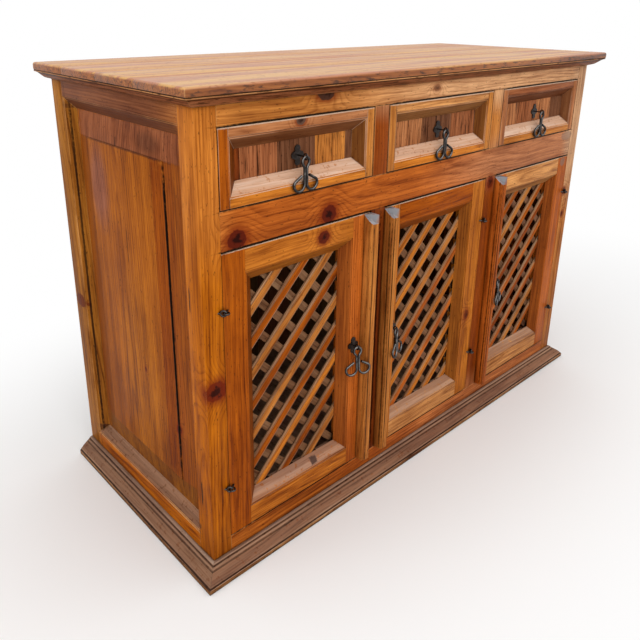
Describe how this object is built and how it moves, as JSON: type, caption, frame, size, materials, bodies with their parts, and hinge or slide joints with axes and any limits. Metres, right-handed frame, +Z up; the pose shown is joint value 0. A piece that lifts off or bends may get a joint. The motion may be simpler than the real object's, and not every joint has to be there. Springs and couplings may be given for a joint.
{
  "type": "sideboard",
  "caption": "Free-standing pine sideboard with a row of drawers over lattice doors, moulded top and plinth, iron drop pulls and wire eye hinges.",
  "frame": {"origin": "centre of the footprint at floor level", "axes": "+X to the right along the front, +Y from the front to the back, +Z up"},
  "size_m": [1.338, 0.5556, 0.932],
  "materials": {
    "stained_pine": "amber-stained pine, satin varnish",
    "top_pine": "waxed pine boards with a pale sheen",
    "moulding_pine": "dark stained pine, worn",
    "inside_pine": "raw pine",
    "forged_iron": "dark forged iron wire and plate"
  },
  "bodies": {
    "case": {"top_boards": "top_pine", "cornice_front": "moulding_pine", "cornice_left": "moulding_pine", "cornice_right": "moulding_pine", "plinth_front": "moulding_pine", "plinth_left": "moulding_pine", "plinth_right": "moulding_pine", "post_back_left": "stained_pine", "post_back_right": "stained_pine", "post_front_left": "stained_pine", "post_front_right": "stained_pine", "side_rails_left": "stained_pine", "side_rails_right": "stained_pine", "side_panel_left": "stained_pine", "side_panel_right": "stained_pine", "top_rail": "stained_pine", "middle_rail": "stained_pine", "bottom_rail": "stained_pine", "drawer_dividers": "stained_pine", "door_partitions": "stained_pine", "back_rails": "inside_pine", "back_boards": "inside_pine", "floor_boards": "inside_pine", "drawer_runners": "inside_pine", "drawer_kickers": "inside_pine", "stop_blocks": "inside_pine", "hinge_eyes_case": "forged_iron"},
    "drawer_1": {"drawer_1_front": "stained_pine", "drawer_1_panel": "stained_pine", "drawer_1_box": "inside_pine", "drawer_1_pull_plate": "forged_iron"},
    "drawer_1_pull": {"drawer_1_pull_drop": "forged_iron"},
    "door_1": {"door_1_frame": "stained_pine", "door_1_lattice": "stained_pine", "door_1_cover_strip": "stained_pine", "door_1_hinge_eyes": "forged_iron", "door_1_pull_plate": "forged_iron"},
    "door_1_pull": {"door_1_pull_drop": "forged_iron"},
    "drawer_2": {"drawer_2_front": "stained_pine", "drawer_2_panel": "stained_pine", "drawer_2_box": "inside_pine", "drawer_2_pull_plate": "forged_iron"},
    "drawer_2_pull": {"drawer_2_pull_drop": "forged_iron"},
    "door_2": {"door_2_frame": "stained_pine", "door_2_lattice": "stained_pine", "door_2_cover_strip": "stained_pine", "door_2_hinge_eyes": "forged_iron", "door_2_pull_plate": "forged_iron"},
    "door_2_pull": {"door_2_pull_drop": "forged_iron"},
    "drawer_3": {"drawer_3_front": "stained_pine", "drawer_3_panel": "stained_pine", "drawer_3_box": "inside_pine", "drawer_3_pull_plate": "forged_iron"},
    "drawer_3_pull": {"drawer_3_pull_drop": "forged_iron"},
    "door_3": {"door_3_frame": "stained_pine", "door_3_lattice": "stained_pine", "door_3_cover_strip": "stained_pine", "door_3_hinge_eyes": "forged_iron", "door_3_pull_plate": "forged_iron"},
    "door_3_pull": {"door_3_pull_drop": "forged_iron"}
  },
  "joints": [
    {"name": "drawer_1_slide", "type": "slide", "parent": "case", "child": "drawer_1", "axis": [0, -1, 0], "range_m": [0, 0.33]},
    {"name": "drawer_1_pull_lift", "type": "hinge", "parent": "drawer_1", "child": "drawer_1_pull", "pos_m": [-0.40967, -0.2488, 0.7915], "axis": [-1, 0, 0], "range_deg": [0, 85]},
    {"name": "door_1_swing", "type": "hinge", "parent": "case", "child": "door_1", "pos_m": [-0.5934, -0.253, 0.366], "axis": [0, 0, -1], "range_deg": [0, 110]},
    {"name": "door_1_pull_lift", "type": "hinge", "parent": "door_1", "child": "door_1_pull", "pos_m": [-0.26683, -0.2578, 0.366], "axis": [-0.9397, 0.342, 0], "range_deg": [0, 80]},
    {"name": "drawer_2_slide", "type": "slide", "parent": "case", "child": "drawer_2", "axis": [0, -1, 0], "range_m": [0, 0.33]},
    {"name": "drawer_2_pull_lift", "type": "hinge", "parent": "drawer_2", "child": "drawer_2_pull", "pos_m": [0, -0.2488, 0.7915], "axis": [-1, 0, 0], "range_deg": [0, 85]},
    {"name": "door_2_swing", "type": "hinge", "parent": "case", "child": "door_2", "pos_m": [0.18373, -0.253, 0.366], "axis": [0, 0, 1], "range_deg": [0, 110]},
    {"name": "door_2_pull_lift", "type": "hinge", "parent": "door_2", "child": "door_2_pull", "pos_m": [-0.14283, -0.2578, 0.366], "axis": [-0.9397, -0.342, 0], "range_deg": [0, 80]},
    {"name": "drawer_3_slide", "type": "slide", "parent": "case", "child": "drawer_3", "axis": [0, -1, 0], "range_m": [0, 0.33]},
    {"name": "drawer_3_pull_lift", "type": "hinge", "parent": "drawer_3", "child": "drawer_3_pull", "pos_m": [0.40967, -0.2488, 0.7915], "axis": [-1, 0, 0], "range_deg": [0, 85]},
    {"name": "door_3_swing", "type": "hinge", "parent": "case", "child": "door_3", "pos_m": [0.5934, -0.253, 0.366], "axis": [0, 0, 1], "range_deg": [0, 110]},
    {"name": "door_3_pull_lift", "type": "hinge", "parent": "door_3", "child": "door_3_pull", "pos_m": [0.26683, -0.2578, 0.366], "axis": [-0.9397, -0.342, 0], "range_deg": [0, 80]}
  ]
}
